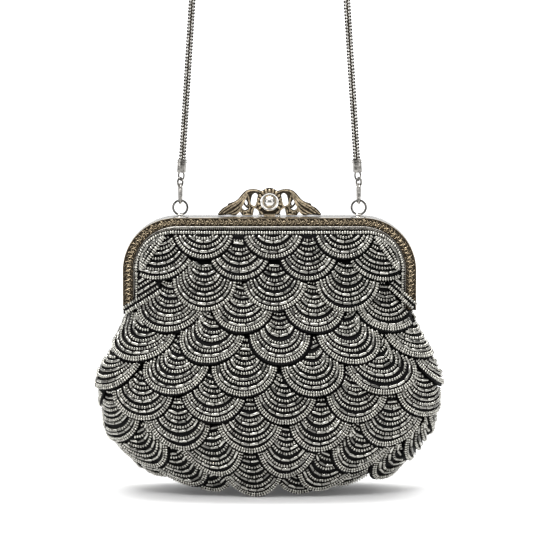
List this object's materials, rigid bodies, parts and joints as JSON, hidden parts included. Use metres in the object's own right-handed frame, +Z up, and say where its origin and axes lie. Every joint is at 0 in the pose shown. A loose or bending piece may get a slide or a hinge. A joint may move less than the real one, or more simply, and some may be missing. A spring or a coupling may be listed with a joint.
{
  "type": "beaded handbag",
  "caption": "Evening bag with a soft pouch clad in tiers of beaded scallops, a hinged metal frame with a pierced tilting clasp, and a woven chain strap on lobster clasps.",
  "frame": {"origin": "underside of the strap's top arc, where the bag hangs from a hand or a hook", "axes": "+Z up, +X to the right as the front is looked at, the front faces -Y"},
  "size_m": [0.2012, 0.0636, 0.3389],
  "materials": {
    "black_satin": "soft black satin",
    "beadwork": "silver-lined glass seed and bugle beads sewn on black satin",
    "antique_silver": "oxidised antique silver with polished rims",
    "polished_silver": "polished silver",
    "dark_chain": "dark antique silver woven chain"
  },
  "bodies": {
    "bag": {"pouch": "black_satin", "flap_row_1_front": "beadwork", "flap_row_1_back": "beadwork", "flap_row_2_front": "beadwork", "flap_row_2_back": "beadwork", "flap_row_3_front": "beadwork", "flap_row_3_back": "beadwork", "flap_row_4": "beadwork", "flap_row_5": "beadwork", "flap_row_6": "beadwork", "flap_row_7": "beadwork", "flap_row_8": "beadwork", "flap_row_9": "beadwork", "flap_row_10": "beadwork", "flap_row_11": "beadwork", "frame_front": "antique_silver", "frame_back": "antique_silver", "hinge_barrel_left": "antique_silver", "strap_ring_left": "polished_silver", "lobster_body_left": "polished_silver", "end_cap_left": "polished_silver", "hinge_barrel_right": "antique_silver", "strap_ring_right": "polished_silver", "lobster_body_right": "polished_silver", "end_cap_right": "polished_silver", "strap_chain": "dark_chain"},
    "clasp": {"clasp_ornament": "antique_silver", "clasp_cabochon": "polished_silver"},
    "lever_left": {"lobster_lever_left": "polished_silver"},
    "lever_right": {"lobster_lever_right": "polished_silver"}
  },
  "joints": [
    {"name": "clasp_tilt", "type": "hinge", "parent": "bag", "child": "clasp", "pos_m": [0, -0.0007, -0.1726], "axis": [-1, 0, 0], "range_deg": [0, 25], "stiffness_Nm_per_rad": 0.05},
    {"name": "lobster_lever_left", "type": "hinge", "parent": "bag", "child": "lever_left", "pos_m": [-0.0517, -0.0022, -0.1588], "axis": [1, 0, 0], "range_deg": [0, 20], "stiffness_Nm_per_rad": 0.01},
    {"name": "lobster_lever_right", "type": "hinge", "parent": "bag", "child": "lever_right", "pos_m": [0.0517, -0.0022, -0.1588], "axis": [1, 0, 0], "range_deg": [0, 20], "stiffness_Nm_per_rad": 0.01}
  ]
}
